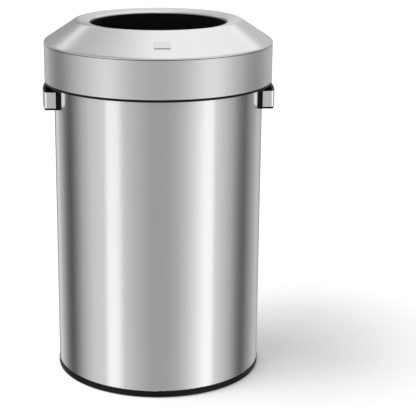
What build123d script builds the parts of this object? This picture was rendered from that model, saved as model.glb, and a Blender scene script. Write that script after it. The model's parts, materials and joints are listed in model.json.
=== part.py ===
from build123d import *
import os
from math import asin, cos, degrees, radians, sin, sqrt, tan

# Open-top round steel bin: a rolled can on a black foot ring, two fixed side handles, a ring that
# holds the bag, and a domed lid with a round opening that lifts off.
# Millimetres, +Z up. The origin is on the floor under the can's axis, and the front is at -Y.

# Stock and fits
sheet = 0.8  # stainless sheet of the can, the lid band and the dome
moulding = 2.6  # wall of the black mouldings
seat_gap = 0.1  # between pieces that are screwed or pressed together
lift_gap = 0.3  # under pieces that rest and lift off
slide_gap = 0.4  # round pieces that lift out
edge_round = 0.8  # softened edges of the mouldings

# Can
can_radius = 209.0  # outside of the rolled sheet
can_top = 665.0  # raw top edge of the sheet
flange_width = 12.0  # the can's bottom edge, turned in
flange_bend = 2.4

# Foot ring
foot_top = 12.6  # above the floor
foot_proud = 1.0  # past the can
foot_width = 22.0
foot_edge = 1.2
foot_wall = 3.0
foot_rib_count = 48
foot_rib = 2.0

# Floor pads
pad_count = 6
pad_radius = 7.0
pad_stand = 1.2  # below the ring
pad_sunk = 2.0  # into the ring

# Floor of the can
plate = 1.0
plate_bead_inside = 70.0  # radius of the pressed bead
plate_bead_width = 14.0
plate_bead_height = 4.0
plate_bead_bend = 2.5
base_screw_count = 6

# Pan-head screws
screw_radius = 2.0
screw_head_radius = 4.0
screw_head = 2.4
screw_head_taper = 8
screw_grip = 5.0  # shank in the moulding
screw_clear = 0.15  # radial room round a shank

# Rim ring on the can's top edge
rim_skirt = 12.0  # outer leg
rim_depth = 26.0  # from the top down to the ledge
rim_ledge = 5.0

# Bag ring
bag_wall = 2.0
bag_height = 22.0
tab_count = 2
tab_width = 34.0
tab_reach = 14.0
tab_thickness = 2.4
tab_corner = 4.0
tab_slot_length = 20.0
tab_slot = 6.0

# Lid band and frame
lid_overhang = 19.0  # from the can to the outside of the band
seam_rise = 11.0  # from the lid's seat to the seam of band and dome
seam_bead = 1.2  # black bead in the seam
seam_inset = 0.5
band_height = 73.0
lip = 5.0  # black lip below the band
lip_width = 11.0
lip_inset = 0.4
spigot_depth = 16.0  # ring that centres the lid in the bag ring
spigot_gap = 1.2
web_reach = 7.0  # frame web inside the screw circle
hem_spigot = 3.0  # frame wall inside the dome's edge
hem_inset = 1.4
centring_rib_count = 16
centring_rib = 2.4
centring_rib_height = 34.0
centring_gap = 1.2

# Dome
shoulder_flat = 0.5  # straight rise of the dome's edge
shoulder_bend = 5.0
dome_pitch = 33.6  # degrees
crest_bend = 12.0
land_pitch = 11.0  # degrees, down towards the opening
land_width = 27.5  # from the opening to the crest's corner
opening_radius = 136.5
opening_bend = 3.6
opening_turn = 9.0  # sheet turned down round the opening

# Throat
throat_depth = 60.0
funnel_drop = 19.0  # top of the funnel below the opening's edge
funnel_neck = 10.0  # straight neck round the tube
funnel_rim = 16.0  # flat rim on the frame's web
throat_screw_count = 8
throat_screw_gap = 1.0  # between a head and the spigot
boss_radius = 4.6
boss_height = 8.0

# Handles
handle_reach = 23.0  # from the can to the outside of the strap's middle
handle_half_width = 70.0  # to the outside of a leg
handle_bow = 440.0  # radius of the strap's long run
handle_corner = 7.0
strap = 1.2
strap_drop = 107.0  # from the can's top edge to the strap's bottom
strap_height = 31.5
strap_edge = 0.35
core_wall = 4.0
core_below = 4.0  # core seen below the strap
core_inset = 2.0  # core's top below the strap's top
grip_round = 1.5
handle_foot = 6.5  # black foot between the can and the strap's end
handle_foot_width = 15.0
handle_screw_rise = 9.0  # screws above and below the foot's middle
backing = 1.5
backing_gap = 0.3  # between the backing and the can
backing_width = 16.0
backing_margin = 5.0  # past the screws
backing_corner = 2.0

# Badge
badge_width = 31.0
badge_length = 19.0
badge_thickness = 1.5
badge_corner = 2.0
badge_edge = 0.4
badge_share = 0.46  # place along the slope, from the shoulder to the crest

# Heights and radii that follow
can_bore = can_radius - sheet
foot_outer = can_radius + foot_proud
foot_inner = foot_outer - foot_width
foot_channel_inner = foot_inner + foot_wall
foot_channel_outer = foot_outer - foot_wall
pad_circle = (foot_channel_inner + foot_channel_outer) / 2
plate_bottom = foot_top + sheet
plate_top = plate_bottom + plate
plate_radius = can_bore - flange_bend - slide_gap
flange_inner = can_bore - flange_width
base_screw_circle = (flange_inner + plate_radius) / 2

rim_top = can_top + seat_gap + moulding
rim_outer = can_radius + seat_gap + moulding
rim_leg_outer = can_bore - seat_gap
rim_inner = rim_leg_outer - moulding
ledge_top = rim_top - rim_depth
ledge_bottom = ledge_top - moulding
ledge_inner = rim_inner - rim_ledge

bag_outer = rim_inner - slide_gap
bag_inner = bag_outer - bag_wall
bag_bottom = ledge_top + lift_gap
tab_inner = bag_inner - tab_reach
tab_outer = bag_inner + bag_wall / 2

seat = rim_top + lift_gap
web_top = seat + moulding
lid_radius = can_radius + lid_overhang
band_top = seat + seam_rise - seam_bead
dome_edge = band_top + seam_bead
band_bottom = band_top - band_height
band_bore = lid_radius - sheet
frame_outer = band_bore - seat_gap
frame_inner = frame_outer - moulding
lip_bottom = band_bottom - lip
spigot_outer = bag_inner - spigot_gap
spigot_inner = spigot_outer - moulding
throat_screw_circle = spigot_inner - throat_screw_gap - screw_head_radius
web_inner = throat_screw_circle - web_reach
centring_inner = rim_outer + centring_gap
centring_outer = frame_inner + moulding / 2

pitch = radians(dome_pitch)
land = radians(land_pitch)
crest_radius = opening_radius + land_width
shoulder_top = dome_edge + shoulder_flat + shoulder_bend * tan((radians(90) - pitch) / 2)
crest_corner = shoulder_top + (lid_radius - crest_radius) * tan(pitch)
opening_corner = crest_corner - land_width * tan(land)
opening_end = opening_corner - opening_turn

throat_outer = opening_radius - seat_gap
throat_inner = throat_outer - moulding
throat_top = opening_corner - opening_bend
throat_bottom = throat_top - throat_depth
funnel_top = opening_corner - funnel_drop
funnel_shoulder = funnel_top - funnel_neck
funnel_bore = throat_outer + seat_gap
funnel_rim_top = web_top + moulding
funnel_rim_inner = throat_screw_circle - funnel_rim / 2
funnel_rim_outer = throat_screw_circle + funnel_rim / 2

handle_outside = can_radius + handle_reach
leg_outside = handle_outside - handle_bow + sqrt(handle_bow**2 - handle_half_width**2)
strap_end = can_radius + handle_foot
strap_bottom = can_top - strap_drop
core_bottom = strap_bottom - core_below
core_height = strap_height + core_below - core_inset
foot_height = strap_height + core_below
foot_middle = core_bottom + foot_height / 2
foot_face = can_radius + seat_gap
backing_outer = can_bore - backing_gap
backing_bore = backing_outer - backing
head_seat = backing_bore - seat_gap
handle_screw_angle = degrees(asin((handle_half_width - handle_foot_width / 2) / can_radius))
handle_shank = foot_face - head_seat + screw_grip
backing_height = 2 * (handle_screw_rise + screw_radius + backing_margin)


def bent_sheet(corners, bends, thickness):
    """Section of a bent sheet. The corners run along its outside, with the metal on their left."""
    with BuildSketch(Plane.XZ) as section:
        with BuildLine():
            FilletPolyline(*corners, radius=bends)
            offset(amount=thickness, side=Side.LEFT)
        make_face()
    return section.sketch


def rings(*sizes):
    """Section of plain rings, each from its inner and outer radius and its bottom and top."""
    with BuildSketch(Plane.XZ) as section:
        for inner, outer, bottom, top in sizes:
            with Locations(((inner + outer) / 2, (bottom + top) / 2)):
                Rectangle(outer - inner, top - bottom)
    return section.sketch


def outward(angle, radius, height):
    """Plane that faces away from the axis."""
    turn = radians(angle)
    place = (radius * cos(turn), radius * sin(turn), height)
    return Plane(origin=place, x_dir=(-sin(turn), cos(turn), 0), z_dir=(cos(turn), sin(turn), 0))


def upward(count, radius, height):
    """Planes that face up, evenly spaced on a circle."""
    turns = [radians(360 * step / count) for step in range(count)]
    return [Plane(origin=(radius * cos(turn), radius * sin(turn), height)) for turn in turns]


def screws(planes, length):
    """Pan-head screws. Each head sits behind its plane, and the shank runs along the normal."""
    with BuildPart() as made:
        for plane in planes:
            with BuildSketch(plane):
                Circle(screw_head_radius)
            extrude(amount=-screw_head, taper=screw_head_taper)
            with BuildSketch(plane):
                Circle(screw_radius)
            extrude(amount=length)
    return made.part


def shank_holes(planes, length):
    """Room for the shanks of such screws."""
    with BuildPart() as made:
        for plane in planes:
            with BuildSketch(plane):
                Circle(screw_radius + screw_clear)
            extrude(amount=length)
    return made.part


def handle_plan(inset):
    """Outline of the right handle from above, closed at the axis and drawn in by an inset."""
    with BuildSketch() as plan:
        with BuildLine():
            near_leg = Line((0, -handle_half_width), (leg_outside, -handle_half_width))
            far_leg = Line((leg_outside, handle_half_width), (0, handle_half_width))
            ThreePointArc(near_leg @ 1, (handle_outside, 0), far_leg @ 0)
            Line(far_leg @ 1, near_leg @ 0)
        make_face()
        fillet(plan.vertices().sort_by(Axis.X)[-2:], radius=handle_corner)
        if inset > 0:
            offset(amount=-inset, kind=Kind.INTERSECTION)
    return plan.sketch


os.makedirs("parts", exist_ok=True)

base_screw_places = upward(base_screw_count, base_screw_circle, plate_top)
base_shank = plate_top - foot_top + screw_grip
throat_screw_places = upward(throat_screw_count, throat_screw_circle, seat)
throat_shank = moulding + screw_grip
right_screw_places = [
    outward(side * handle_screw_angle, head_seat, foot_middle + rise)
    for side in (-1, 1)
    for rise in (-handle_screw_rise, handle_screw_rise)
]

# Foot ring: hollow and open below, with ribs, pad cups and screw bosses
with BuildPart() as base_ring:
    add(rings((foot_inner, foot_outer, pad_stand, foot_top)))
    revolve(axis=Axis.Z)
    fillet(base_ring.edges().filter_by(GeomType.CIRCLE).sort_by(SortBy.RADIUS)[-2:], radius=foot_edge)
    add(rings((foot_channel_inner, foot_channel_outer, pad_stand, foot_top - foot_wall)))
    revolve(axis=Axis.Z, mode=Mode.SUBTRACT)
    with BuildSketch(Plane.XY.offset(pad_stand)):
        with PolarLocations(pad_circle, foot_rib_count, start_angle=180 / foot_rib_count):
            Rectangle(foot_channel_outer - foot_channel_inner + foot_wall, foot_rib)
        with PolarLocations(pad_circle, pad_count, start_angle=180 / pad_count):
            Circle(pad_radius + foot_wall / 2)
        with PolarLocations(base_screw_circle, base_screw_count):
            Circle(boss_radius)
    extrude(amount=foot_top - foot_wall / 2 - pad_stand)
    with BuildSketch(Plane.XY.offset(pad_stand)):
        with PolarLocations(pad_circle, pad_count, start_angle=180 / pad_count):
            Circle(pad_radius + seat_gap)
    extrude(amount=pad_sunk, mode=Mode.SUBTRACT)
    add(shank_holes(base_screw_places, -base_shank - seat_gap), mode=Mode.SUBTRACT)
base_ring.part.label = "base_ring"
export_step(base_ring.part, "parts/base_ring.step")

with BuildPart() as floor_pads:
    with BuildSketch():
        with PolarLocations(pad_circle, pad_count, start_angle=180 / pad_count):
            Circle(pad_radius)
    extrude(amount=pad_stand + pad_sunk)
floor_pads.part.label = "floor_pads"
export_step(floor_pads.part, "parts/floor_pads.step")

# Can: one rolled sheet, flanged in at the bottom
with BuildPart() as body_shell:
    can_corners = [(flange_inner, foot_top), (can_radius, foot_top), (can_radius, can_top)]
    add(bent_sheet(can_corners, flange_bend, sheet))
    revolve(axis=Axis.Z)
    add(shank_holes(base_screw_places, -base_shank), mode=Mode.SUBTRACT)
    right_holes = shank_holes(right_screw_places, handle_shank)
    add(right_holes, mode=Mode.SUBTRACT)
    mirror(right_holes, about=Plane.YZ, mode=Mode.SUBTRACT)
body_shell.part.label = "body_shell"
export_step(body_shell.part, "parts/body_shell.step")

# Floor plate with one pressed bead
with BuildPart() as base_plate:
    bead_outside = plate_bead_inside + plate_bead_width
    plate_corners = [
        (0, plate_bottom),
        (plate_bead_inside, plate_bottom),
        (plate_bead_inside + plate_bead_height, plate_bottom + plate_bead_height),
        (bead_outside - plate_bead_height, plate_bottom + plate_bead_height),
        (bead_outside, plate_bottom),
        (plate_radius, plate_bottom),
    ]
    add(bent_sheet(plate_corners, plate_bead_bend, plate))
    revolve(axis=Axis.Z)
    add(shank_holes(base_screw_places, -base_shank), mode=Mode.SUBTRACT)
base_plate.part.label = "base_plate"
export_step(base_plate.part, "parts/base_plate.step")

with BuildPart() as base_screws:
    add(screws([Plane(place.origin, z_dir=(0, 0, -1)) for place in base_screw_places], base_shank))
base_screws.part.label = "base_screws"
export_step(base_screws.part, "parts/base_screws.step")

# Rim ring: a channel pressed on the can's top edge, with a ledge for the bag ring
with BuildPart() as rim_ring:
    add(
        rings(
            (can_radius + seat_gap, rim_outer, rim_top - rim_skirt, rim_top),
            (rim_inner, rim_outer, can_top + seat_gap, rim_top),
            (rim_inner, rim_leg_outer, ledge_bottom, rim_top),
            (ledge_inner, rim_leg_outer, ledge_bottom, ledge_top),
        )
    )
    revolve(axis=Axis.Z)
    fillet(rim_ring.edges().filter_by(GeomType.CIRCLE).group_by(Axis.Z)[-1], radius=edge_round)
rim_ring.part.label = "rim_ring"
export_step(rim_ring.part, "parts/rim_ring.step")

# Bag ring with its two finger tabs
with BuildPart() as bag_ring:
    add(rings((bag_inner, bag_outer, bag_bottom, bag_bottom + bag_height)))
    revolve(axis=Axis.Z)
    fillet(bag_ring.edges().filter_by(GeomType.CIRCLE).group_by(Axis.Z)[-1], radius=edge_round)
    with BuildSketch(Plane.XY.offset(bag_bottom)):
        with PolarLocations((tab_inner + tab_outer) / 2, tab_count):
            RectangleRounded(tab_outer - tab_inner, tab_width, tab_corner)
        with Locations(*[(side * (tab_outer - tab_corner / 2), 0) for side in (-1, 1)]):
            Rectangle(tab_corner, tab_width)
        with PolarLocations((tab_inner + bag_inner) / 2, tab_count):
            SlotOverall(tab_slot_length, tab_slot, rotation=90, mode=Mode.SUBTRACT)
    extrude(amount=tab_thickness)
bag_ring.part.label = "bag_ring"
export_step(bag_ring.part, "parts/bag_ring.step")

# Lid band: a straight steel hoop
with BuildPart() as lid_band:
    add(rings((band_bore, lid_radius, band_bottom, band_top)))
    revolve(axis=Axis.Z)
lid_band.part.label = "lid_band"
export_step(lid_band.part, "parts/lid_band.step")

# Lid frame: wall behind the band, lip below it, bead in the seam, web on the rim ring, spigot and ribs
with BuildPart() as lid_frame:
    add(
        rings(
            (frame_inner, frame_outer, lip_bottom, dome_edge),
            (frame_outer - lip_width, lid_radius - lip_inset, lip_bottom, band_bottom),
            (frame_inner, lid_radius - seam_inset, band_top, dome_edge),
            (frame_inner, frame_outer - hem_inset, dome_edge, dome_edge + hem_spigot),
            (web_inner, frame_outer, seat, web_top),
            (spigot_inner, spigot_outer, seat - spigot_depth, web_top),
        )
    )
    revolve(axis=Axis.Z)
    fillet(lid_frame.edges().filter_by(GeomType.CIRCLE).group_by(Axis.Z)[0], radius=edge_round)
    with BuildSketch(Plane.XY.offset(seat - centring_rib_height)):
        with PolarLocations((centring_inner + centring_outer) / 2, centring_rib_count):
            Rectangle(centring_outer - centring_inner, centring_rib)
    extrude(amount=centring_rib_height + moulding / 2)
    add(shank_holes(throat_screw_places, throat_shank), mode=Mode.SUBTRACT)
lid_frame.part.label = "lid_frame"
export_step(lid_frame.part, "parts/lid_frame.step")

# Dome: spun sheet, from the seam up the slope, over the crest and down into the opening
with BuildPart() as lid_dome:
    dome_corners = [
        (lid_radius, dome_edge),
        (lid_radius, shoulder_top),
        (crest_radius, crest_corner),
        (opening_radius, opening_corner),
        (opening_radius, opening_end),
    ]
    add(bent_sheet(dome_corners, [shoulder_bend, crest_bend, opening_bend], sheet))
    revolve(axis=Axis.Z)
lid_dome.part.label = "lid_dome"
export_step(lid_dome.part, "parts/lid_dome.step")

# Throat tube: black lining of the opening
with BuildPart() as throat_tube:
    add(rings((throat_inner, throat_outer, throat_bottom, throat_top)))
    revolve(axis=Axis.Z)
    fillet(throat_tube.edges().filter_by(GeomType.CIRCLE).group_by(Axis.Z)[-1], radius=edge_round)
throat_tube.part.label = "throat_tube"
export_step(throat_tube.part, "parts/throat_tube.step")

# Throat collar: neck round the tube, funnel under the dome, and a flat rim screwed to the frame's web
with BuildPart() as throat_collar:
    with BuildSketch(Plane.XZ):
        add(
            rings(
                (funnel_bore, funnel_bore + moulding, funnel_shoulder - moulding, funnel_top),
                (funnel_rim_inner, funnel_rim_outer, web_top, funnel_rim_top),
            )
        )
        with BuildLine():
            Polyline(
                (funnel_bore, funnel_shoulder),
                (funnel_rim_inner, funnel_rim_top),
                (funnel_rim_inner, web_top),
                (funnel_bore, funnel_shoulder - moulding),
                close=True,
            )
        make_face()
    revolve(axis=Axis.Z)
    with BuildSketch(*upward(throat_screw_count, throat_screw_circle, web_top)):
        Circle(boss_radius)
    extrude(amount=boss_height)
    add(shank_holes(throat_screw_places, throat_shank + seat_gap), mode=Mode.SUBTRACT)
throat_collar.part.label = "throat_collar"
export_step(throat_collar.part, "parts/throat_collar.step")

with BuildPart() as throat_screws:
    add(screws(throat_screw_places, throat_shank))
throat_screws.part.label = "throat_screws"
export_step(throat_screws.part, "parts/throat_screws.step")

# Badge: a thin plate that follows the slope at the front
with BuildPart() as badge_plate:
    slope_run = lid_radius - crest_radius
    badge_radius = lid_radius - badge_share * slope_run
    badge_height = shoulder_top + badge_share * slope_run * tan(pitch)
    with BuildSketch(Plane.XZ):
        with BuildLine():
            Polyline(
                (lid_radius + seat_gap * sin(pitch), shoulder_top + seat_gap * cos(pitch)),
                (crest_radius + seat_gap * sin(pitch), crest_corner + seat_gap * cos(pitch)),
            )
            offset(amount=badge_thickness, side=Side.RIGHT)
        make_face()
    revolve(axis=Axis.Z)
    badge_middle = Plane(
        origin=(0, -badge_radius, badge_height), x_dir=(1, 0, 0), z_dir=(0, -sin(pitch), cos(pitch))
    )
    with BuildSketch(badge_middle):
        RectangleRounded(badge_width, badge_length, badge_corner)
    extrude(amount=badge_length / 2, both=True, mode=Mode.INTERSECT)
    badge_face = badge_plate.faces().sort_by(Axis((0, 0, 0), badge_middle.z_dir))[-1]
    fillet(badge_face.edges(), radius=badge_edge)
badge_plate.part.label = "badge_plate"
export_step(badge_plate.part, "parts/badge_plate.step")

# Handles: the right one at +X, and the left one as its mirror image
with BuildPart() as right_handle_cover:
    with BuildSketch(Plane.XY.offset(strap_bottom)):
        add(handle_plan(0))
        add(handle_plan(strap), mode=Mode.SUBTRACT)
        Circle(strap_end, mode=Mode.SUBTRACT)
    extrude(amount=strap_height)
    strap_rims = right_handle_cover.edges().group_by(Axis.Z)
    fillet(strap_rims[0] + strap_rims[-1], radius=strap_edge)
right_handle_cover.part.label = "right_handle_cover"
export_step(right_handle_cover.part, "parts/right_handle_cover.step")

with BuildPart() as right_handle_core:
    with BuildSketch(Plane.XY.offset(core_bottom)):
        add(handle_plan(strap + seat_gap))
        add(handle_plan(strap + seat_gap + core_wall), mode=Mode.SUBTRACT)
        Circle(foot_face, mode=Mode.SUBTRACT)
    extrude(amount=core_height)
    grip_radius = handle_bow - strap - seat_gap - core_wall
    grip_rims = right_handle_core.edges().filter_by(
        lambda edge: edge.geom_type == GeomType.CIRCLE and abs(edge.radius - grip_radius) < seat_gap
    )
    fillet(grip_rims, radius=grip_round)
    with BuildSketch(Plane.XY.offset(core_bottom)):
        add(handle_plan(0))
        add(handle_plan(handle_foot_width), mode=Mode.SUBTRACT)
        Circle(strap_end - seat_gap, mode=Mode.INTERSECT)
        Circle(foot_face, mode=Mode.SUBTRACT)
    extrude(amount=foot_height)
    add(shank_holes(right_screw_places, handle_shank + seat_gap), mode=Mode.SUBTRACT)
right_handle_core.part.label = "right_handle_core"
export_step(right_handle_core.part, "parts/right_handle_core.step")

with BuildPart() as right_handle_backing:
    for side in (-1, 1):
        with BuildSketch(outward(side * handle_screw_angle, head_seat - backing, foot_middle)):
            RectangleRounded(backing_width, backing_height, backing_corner)
        extrude(amount=3 * backing)
    with BuildSketch(Plane.XY.offset(foot_middle - backing_height)):
        Circle(backing_outer)
        Circle(backing_bore, mode=Mode.SUBTRACT)
    extrude(amount=2 * backing_height, mode=Mode.INTERSECT)
    add(right_holes, mode=Mode.SUBTRACT)
right_handle_backing.part.label = "right_handle_backing"
export_step(right_handle_backing.part, "parts/right_handle_backing.step")

with BuildPart() as right_handle_screws:
    add(screws(right_screw_places, handle_shank))
right_handle_screws.part.label = "right_handle_screws"
export_step(right_handle_screws.part, "parts/right_handle_screws.step")

with BuildPart() as left_handle_cover:
    mirror(right_handle_cover.part, about=Plane.YZ)
left_handle_cover.part.label = "left_handle_cover"
export_step(left_handle_cover.part, "parts/left_handle_cover.step")

with BuildPart() as left_handle_core:
    mirror(right_handle_core.part, about=Plane.YZ)
left_handle_core.part.label = "left_handle_core"
export_step(left_handle_core.part, "parts/left_handle_core.step")

with BuildPart() as left_handle_backing:
    mirror(right_handle_backing.part, about=Plane.YZ)
left_handle_backing.part.label = "left_handle_backing"
export_step(left_handle_backing.part, "parts/left_handle_backing.step")

with BuildPart() as left_handle_screws:
    mirror(right_handle_screws.part, about=Plane.YZ)
left_handle_screws.part.label = "left_handle_screws"
export_step(left_handle_screws.part, "parts/left_handle_screws.step")
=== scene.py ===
import json
from math import cos, pi, radians, sin, tau

import bpy
from mathutils import Matrix, Vector

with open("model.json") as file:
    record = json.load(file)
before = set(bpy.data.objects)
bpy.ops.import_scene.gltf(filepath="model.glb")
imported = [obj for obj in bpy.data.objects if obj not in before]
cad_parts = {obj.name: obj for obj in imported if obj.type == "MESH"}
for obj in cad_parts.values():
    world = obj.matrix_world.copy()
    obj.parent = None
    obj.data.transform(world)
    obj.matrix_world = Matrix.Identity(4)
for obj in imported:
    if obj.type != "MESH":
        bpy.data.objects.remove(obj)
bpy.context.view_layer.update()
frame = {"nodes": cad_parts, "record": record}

# Open-top round steel bin in a white studio. Metres, +Z up, the front with the badge at -Y.

nodes = frame["nodes"]
scene = bpy.context.scene

# Camera, fitted to the photograph's ellipses
FRAME_PIXELS = 416
SENSOR = 0.036
CAMERA_DISTANCE = 2.6  # from the bin's axis
CAMERA_HEIGHT = 1.0853
CAMERA_PITCH = radians(16.161)
CAMERA_TURN = radians(-2.2)  # round the bin's axis, towards -X
CAMERA_FOCAL_PIXELS = 1308.3
AXIS_PIXEL = 158.2  # where the bin's axis stands across the photograph

# Steel
SHEET_COLOR = (0.66, 0.655, 0.65)
SHEET_GRAIN = 1400.0  # brush lines over a metre of height
SHEET_GRAIN_DEPTH = 0.000002
# The straps' steel is lighter than the sheet's as painted light: it stands in for the reflected light that
# their flat front faces miss.
STRAP_PAINTED_LIGHT_COLOR = (0.84, 0.835, 0.83)
STRAP_GRAIN = 1200.0
STRAP_GRAIN_DEPTH = 0.000004
GRAIN_RUN = 9.0  # changes of a brush line in one radian round the bin
GRAIN_TINT = 0.03
CLOUD_RUN = 1.2  # the same for the broad clouds in the polish
CLOUD_RISE = 5.0
BRUSH_TURN = 0.25  # turns the anisotropy, so that it smears reflections across the brush lines

# Plastic
PLASTIC_SPECULAR = 0.15
PLASTIC_CLOUDS = 18.0
PLASTIC_TINT = 0.15

# Studio
FLOOR_SIZE = 14.0
FLOOR_WHITE = 0.86
FLOOR_GLOW = 0.2  # seen by the camera only: it lifts the open floor to plain white
SKY_ON_SURFACES = 0.44  # strength of the white world on matt surfaces
LAMP_SOFTNESS = radians(36)
ROOM_RADIUS = 5.0
WALL_SIDES = 96


def node_tree(name):
    """A new material with an empty node tree, and its output."""
    made = bpy.data.materials.new(name)
    made.use_nodes = True
    tree = made.node_tree
    tree.nodes.clear()
    return made, tree, tree.nodes.new("ShaderNodeOutputMaterial")


def add_node(tree, kind, **settings):
    """A node with some of its settings. Socket values are given by socket name in a dict."""
    made = tree.nodes.new("ShaderNode" + kind)
    for socket, value in settings.pop("inputs", {}).items():
        made.inputs[socket].default_value = value
    for setting, value in settings.items():
        setattr(made, setting, value)
    return made


def math_node(tree, operation, first, second=0.0):
    """A math node. Each operand is a number or a socket."""
    made = add_node(tree, "Math", operation=operation)
    for socket, value in zip(made.inputs, (first, second)):
        if isinstance(value, (int, float)):
            socket.default_value = value
        else:
            tree.links.new(value, socket)
    return made.outputs[0]


def spread(tree, value, low, high):
    """Maps a 0 to 1 socket onto low to high."""
    made = add_node(tree, "MapRange", inputs={"To Min": low, "To Max": high})
    tree.links.new(value, made.inputs["Value"])
    return made.outputs["Result"]


def around_axis(tree, run, rise, depth):
    """Coordinates that follow the bin round: angle, height and radius, each with its own scale."""
    place = add_node(tree, "TexCoord").outputs["Object"]
    parts = add_node(tree, "SeparateXYZ")
    tree.links.new(place, parts.inputs[0])
    x, y, z = parts.outputs
    angle = math_node(tree, "ARCTAN2", x, math_node(tree, "MULTIPLY", y, -1.0))
    square = math_node(tree, "ADD", math_node(tree, "MULTIPLY", x, x), math_node(tree, "MULTIPLY", y, y))
    radius = math_node(tree, "SQRT", square)
    joined = add_node(tree, "CombineXYZ")
    for socket, value, scale in zip(joined.inputs, (angle, z, radius), (run, rise, depth)):
        tree.links.new(math_node(tree, "MULTIPLY", value, scale), socket)
    return joined.outputs[0]


def noise(tree, coordinates, detail=2.0, scale=1.0):
    """Noise from 0 to 1 at the given coordinates."""
    made = add_node(tree, "TexNoise", inputs={"Scale": scale, "Detail": detail})
    tree.links.new(coordinates, made.inputs["Vector"])
    return made.outputs["Fac"]


def bump(tree, shader, height, distance, strength=1.0):
    """Gives the shader a bump, with its height in metres."""
    made = add_node(tree, "Bump", inputs={"Strength": strength, "Distance": distance})
    tree.links.new(height, made.inputs["Height"])
    tree.links.new(made.outputs[0], shader.inputs["Normal"])


def tint(tree, shader, color, value, amount):
    """Varies the base colour by a small amount with a 0 to 1 socket."""
    light = add_node(tree, "Mix", data_type="RGBA")
    light.inputs["A"].default_value = (*[part * (1 - amount) for part in color], 1)
    light.inputs["B"].default_value = (*[part * (1 + amount) for part in color], 1)
    tree.links.new(value, light.inputs["Factor"])
    tree.links.new(light.outputs["Result"], shader.inputs["Base Color"])


def brushed_steel(name, color, roughness, anisotropy, grain, grain_depth):
    """Stainless sheet, brushed round the bin and satin polished: it smears reflections up and down."""
    made, tree, output = node_tree(name)
    shader = add_node(
        tree,
        "BsdfPrincipled",
        inputs={"Metallic": 1.0, "Anisotropic": anisotropy, "Anisotropic Rotation": BRUSH_TURN},
    )
    tangent = add_node(tree, "Tangent", direction_type="RADIAL", axis="Z")
    tree.links.new(tangent.outputs[0], shader.inputs["Tangent"])
    fine = noise(tree, around_axis(tree, GRAIN_RUN, grain, grain), detail=3.0)
    broad = noise(tree, around_axis(tree, CLOUD_RUN, CLOUD_RISE, CLOUD_RISE), detail=2.0)
    tint(tree, shader, color, fine, GRAIN_TINT)
    polish = math_node(tree, "MULTIPLY", math_node(tree, "ADD", fine, broad), 0.5)
    tree.links.new(spread(tree, polish, roughness * 0.85, roughness * 1.15), shader.inputs["Roughness"])
    bump(tree, shader, fine, grain_depth)
    tree.links.new(shader.outputs[0], output.inputs["Surface"])
    return made


def moulded_plastic(name, color, roughness, texture_scale, texture_depth):
    """Black moulding with a fine spark-eroded texture."""
    made, tree, output = node_tree(name)
    shader = add_node(tree, "BsdfPrincipled", inputs={"Specular IOR Level": PLASTIC_SPECULAR})
    place = add_node(tree, "TexCoord").outputs["Object"]
    texture = noise(tree, place, detail=2.0, scale=texture_scale)
    cloud = noise(tree, place, detail=2.0, scale=PLASTIC_CLOUDS)
    tint(tree, shader, color, cloud, PLASTIC_TINT)
    tree.links.new(spread(tree, cloud, roughness * 0.9, roughness * 1.1), shader.inputs["Roughness"])
    bump(tree, shader, texture, texture_depth)
    tree.links.new(shader.outputs[0], output.inputs["Surface"])
    return made


def plain_metal(name, color, roughness, texture_scale, variation):
    """Galvanised or zinc-plated steel with a faint cloudy crystal pattern."""
    made, tree, output = node_tree(name)
    shader = add_node(tree, "BsdfPrincipled", inputs={"Metallic": 1.0})
    place = add_node(tree, "TexCoord").outputs["Object"]
    crystals = add_node(tree, "TexVoronoi", inputs={"Scale": texture_scale})
    tree.links.new(place, crystals.inputs["Vector"])
    shade = add_node(tree, "SeparateColor")
    tree.links.new(crystals.outputs["Color"], shade.inputs[0])
    tint(tree, shader, color, shade.outputs[0], variation)
    dullness = spread(tree, shade.outputs[1], roughness * 0.85, roughness * 1.2)
    tree.links.new(dullness, shader.inputs["Roughness"])
    tree.links.new(shader.outputs[0], output.inputs["Surface"])
    return made


MATERIALS = {
    "can_steel": brushed_steel("can_steel", SHEET_COLOR, 0.2, 1.0, SHEET_GRAIN, SHEET_GRAIN_DEPTH),
    "lid_steel": brushed_steel("lid_steel", SHEET_COLOR, 0.3, 0.6, SHEET_GRAIN, SHEET_GRAIN_DEPTH),
    "band_steel": brushed_steel("band_steel", SHEET_COLOR, 0.4, 0.3, SHEET_GRAIN, SHEET_GRAIN_DEPTH),
    "handle_steel": brushed_steel("handle_steel", STRAP_PAINTED_LIGHT_COLOR, 0.28, 0.8, STRAP_GRAIN, STRAP_GRAIN_DEPTH),
    "badge_steel": plain_metal("badge_steel", (0.58, 0.58, 0.57), 0.22, 900.0, 0.03),
    "plate_steel": plain_metal("plate_steel", (0.45, 0.46, 0.47), 0.42, 60.0, 0.2),
    "screw_steel": plain_metal("screw_steel", (0.5, 0.5, 0.5), 0.3, 300.0, 0.08),
    "black_plastic": moulded_plastic("black_plastic", (0.003, 0.003, 0.0035), 0.42, 1800.0, 0.00004),
    "pad_rubber": moulded_plastic("pad_rubber", (0.025, 0.025, 0.025), 0.8, 900.0, 0.00006),
}


def dress_nodes():
    """Gives every CAD node the finish that the record names for it, and the lid's band a duller one."""
    for entry in frame["record"]["subparts"]:
        item = nodes[entry["node"]]
        item.data.materials.clear()
        item.data.materials.append(MATERIALS[entry["material_slot"]])
    nodes["lid_band"].data.materials[0] = MATERIALS["band_steel"]


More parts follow.
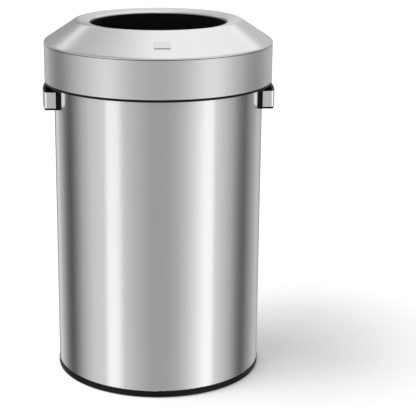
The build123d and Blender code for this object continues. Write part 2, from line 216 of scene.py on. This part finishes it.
def make_camera():
    """Camera in front of the bin, turned a little round its axis."""
    data = bpy.data.cameras.new("camera")
    data.sensor_width = SENSOR * 1000
    data.lens = CAMERA_FOCAL_PIXELS / FRAME_PIXELS * SENSOR * 1000
    data.shift_x = 0.5 - AXIS_PIXEL / FRAME_PIXELS
    camera = bpy.data.objects.new("camera", data)
    scene.collection.objects.link(camera)
    front = Matrix.Translation((0, -CAMERA_DISTANCE, CAMERA_HEIGHT))
    tilt = Matrix.Rotation(pi / 2 - CAMERA_PITCH, 4, "X")
    camera.matrix_world = Matrix.Rotation(CAMERA_TURN, 4, "Z") @ front @ tilt
    scene.camera = camera


def stage_mesh(name, points, faces, material):
    """A studio surface that isn't part of the bin."""
    mesh = bpy.data.meshes.new(name)
    mesh.from_pydata(points, [], faces)
    mesh.materials.append(material)
    item = bpy.data.objects.new(name, mesh)
    scene.collection.objects.link(item)
    return item


def make_floor():
    """White floor that reads as plain white and keeps the bin's shadow."""
    made, tree, output = node_tree("floor_white")
    paint = add_node(tree, "BsdfDiffuse", inputs={"Color": (FLOOR_WHITE, FLOOR_WHITE, FLOOR_WHITE, 1)})
    glow = add_node(tree, "Emission")
    seen = add_node(tree, "LightPath").outputs["Is Camera Ray"]
    tree.links.new(math_node(tree, "MULTIPLY", seen, FLOOR_GLOW), glow.inputs["Strength"])
    both = add_node(tree, "AddShader")
    tree.links.new(paint.outputs[0], both.inputs[0])
    tree.links.new(glow.outputs[0], both.inputs[1])
    tree.links.new(both.outputs[0], output.inputs["Surface"])
    half = FLOOR_SIZE / 2
    corners = [(-half, -half, 0), (half, -half, 0), (half, half, 0), (-half, half, 0)]
    item = stage_mesh("floor", corners, [(0, 1, 2, 3)], made)
    item.visible_glossy = False


# Brightness of the studio's walls by compass angle from the camera's side, in degrees. Low down, which
# the can and the band mirror: a soft grey wall behind the camera, a tall softbox on each side, dark flags
# beside the bin, and a lighter backdrop behind it with a dark strip in the middle. These low stops began
# as another script's output, worked out from thirty grey values read along one row of the photograph,
# and were then rounded and adjusted by eye
LOW_LIGHT = (
    (-180, 0.15), (-165, 0.15), (-154, 0.95), (-140, 0.62), (-125, 0.2), (-114, 0.08), (-104, 0.3),
    (-94, 0.58), (-80, 0.86), (-61, 1.0), (-60, 1.5), (-47, 1.42), (-40, 0.86), (-25, 0.62), (-9, 0.44),
    (6, 0.44), (18, 0.54), (29, 0.78), (40, 1.12), (50, 1.5), (60, 1.55), (61, 1.02), (74, 0.78),
    (86, 0.54), (97, 0.22), (107, 0.1), (120, 0.35), (140, 0.7), (154, 0.6), (165, 0.15), (180, 0.15),
)
# Higher up, for the dome's flanks
HIGH_LIGHT = (
    (-180, 0.45), (-172, 0.35), (-167, 0.4), (-155, 0.45), (-140, 0.5), (-120, 0.6), (0, 0.7),
    (120, 0.9), (140, 0.66), (155, 0.66), (166, 0.66), (172, 0.9), (180, 0.75),
)
# At the top of the wall: a light strip on each side, which the dome draws out into streaks
TOP_LIGHT = (
    (-180, 0.7), (-172, 0.45), (-165, 1.5), (-135, 1.5), (-125, 0.6), (0, 0.7),
    (125, 0.8), (135, 1.55), (165, 1.55), (172, 0.9), (180, 0.75),
)
# Overhead, by metres across, for the dome's front
CEILING_LIGHT = (
    (-5.0, 0.3), (-3.0, 0.5), (-2.0, 0.74), (-1.2, 0.92), (-0.2, 1.3), (0.6, 1.3), (2.2, 1.3), (5.0, 0.85),
)
BRIGHTEST = 1.6
LOW_WALL = (-4.0, 0.6)  # bottom and top
HIGH_WALL = (0.6, 3.3)
TOP_WALL = (3.3, 4.1)


def light_by(name, value_of, span, stops):
    """Emission whose strength follows stops along a value that value_of makes from the coordinates."""
    made, tree, output = node_tree(name)
    place = add_node(tree, "TexCoord").outputs["Object"]
    parts = add_node(tree, "SeparateXYZ")
    tree.links.new(place, parts.inputs[0])
    value = value_of(tree, *parts.outputs)
    share = math_node(tree, "ADD", math_node(tree, "DIVIDE", value, 2 * span), 0.5)
    ramp = add_node(tree, "ValToRGB")
    tree.links.new(share, ramp.inputs[0])
    marks = ramp.color_ramp.elements
    for along, light in stops[1:-1]:
        marks.new(along / span / 2 + 0.5)
    for mark, (along, light) in zip(marks, stops):
        mark.color = (*[light / BRIGHTEST] * 3, 1)
    glow = add_node(tree, "Emission")
    tree.links.new(math_node(tree, "MULTIPLY", ramp.outputs[0], BRIGHTEST), glow.inputs["Strength"])
    tree.links.new(glow.outputs[0], output.inputs["Surface"])
    made.cycles.emission_sampling = "NONE"
    return made


def compass(tree, x, y, z):
    """Angle round the bin, zero towards the camera."""
    return math_node(tree, "ARCTAN2", x, math_node(tree, "MULTIPLY", y, -1.0))


def across(tree, x, y, z):
    """Metres to the right."""
    return x


def make_wall(name, stops, bottom, top):
    """Round wall of light that only the bin's gloss sees."""
    turns = [tau * step / WALL_SIDES for step in range(WALL_SIDES)]
    points = [
        (ROOM_RADIUS * sin(turn), -ROOM_RADIUS * cos(turn), height)
        for height in (bottom, top)
        for turn in turns
    ]
    faces = [
        (step, (step + 1) % WALL_SIDES, WALL_SIDES + (step + 1) % WALL_SIDES, WALL_SIDES + step)
        for step in range(WALL_SIDES)
    ]
    in_radians = [(radians(angle), light) for angle, light in stops]
    glossy_only(stage_mesh(name, points, faces, light_by(name + "_light", compass, pi, in_radians)))


def make_ceiling():
    """Overhead panel that only the bin's gloss sees."""
    half = ROOM_RADIUS
    square = ((-half, -half), (half, -half), (half, half), (-half, half))
    corners = [(x, y, TOP_WALL[1]) for x, y in square]
    light = light_by("ceiling_light", across, half, CEILING_LIGHT)
    glossy_only(stage_mesh("room_ceiling", corners, [(0, 3, 2, 1)], light))


def glossy_only(item):
    """Hides a studio surface from everything but reflections."""
    item.visible_camera = False
    item.visible_diffuse = False
    item.visible_shadow = False
    item.visible_transmission = False
    item.visible_volume_scatter = False


def make_world():
    """White to the camera and in reflections, a little softer on surfaces."""
    world = bpy.data.worlds.new("studio")
    world.use_nodes = True
    tree = world.node_tree
    tree.nodes.clear()
    output = tree.nodes.new("ShaderNodeOutputWorld")
    glow = add_node(tree, "Background", inputs={"Color": (1, 1, 1, 1)})
    path = add_node(tree, "LightPath")
    seen = math_node(tree, "MAXIMUM", path.outputs["Is Camera Ray"], path.outputs["Is Glossy Ray"])
    seen = math_node(tree, "MAXIMUM", seen, path.outputs["Is Transmission Ray"])
    tree.links.new(spread(tree, seen, SKY_ON_SURFACES, 1.0), glow.inputs["Strength"])
    tree.links.new(glow.outputs[0], output.inputs["Surface"])
    scene.world = world


def make_lamp(name, source, strength):
    """Far, wide light from a direction, for soft shadows. Reflections see the room instead."""
    data = bpy.data.lights.new(name, "SUN")
    data.energy = strength
    data.angle = LAMP_SOFTNESS
    lamp = bpy.data.objects.new(name, data)
    scene.collection.objects.link(lamp)
    lamp.rotation_euler = (-Vector(source)).to_track_quat("-Z", "Y").to_euler()
    lamp.visible_glossy = False


def make_studio():
    """Floor, room, world and lamps."""
    make_floor()
    make_wall("low_wall", LOW_LIGHT, *LOW_WALL)
    make_wall("high_wall", HIGH_LIGHT, *HIGH_WALL)
    make_wall("top_wall", TOP_LIGHT, *TOP_WALL)
    make_ceiling()
    make_world()
    make_lamp("front_key", (-1.0, -0.65, 1.65), 1.1)
    make_lamp("side_key", (-1.0, 0.1, 1.75), 1.2)


dress_nodes()
make_camera()
make_studio()
scene.view_settings.view_transform = "Standard"
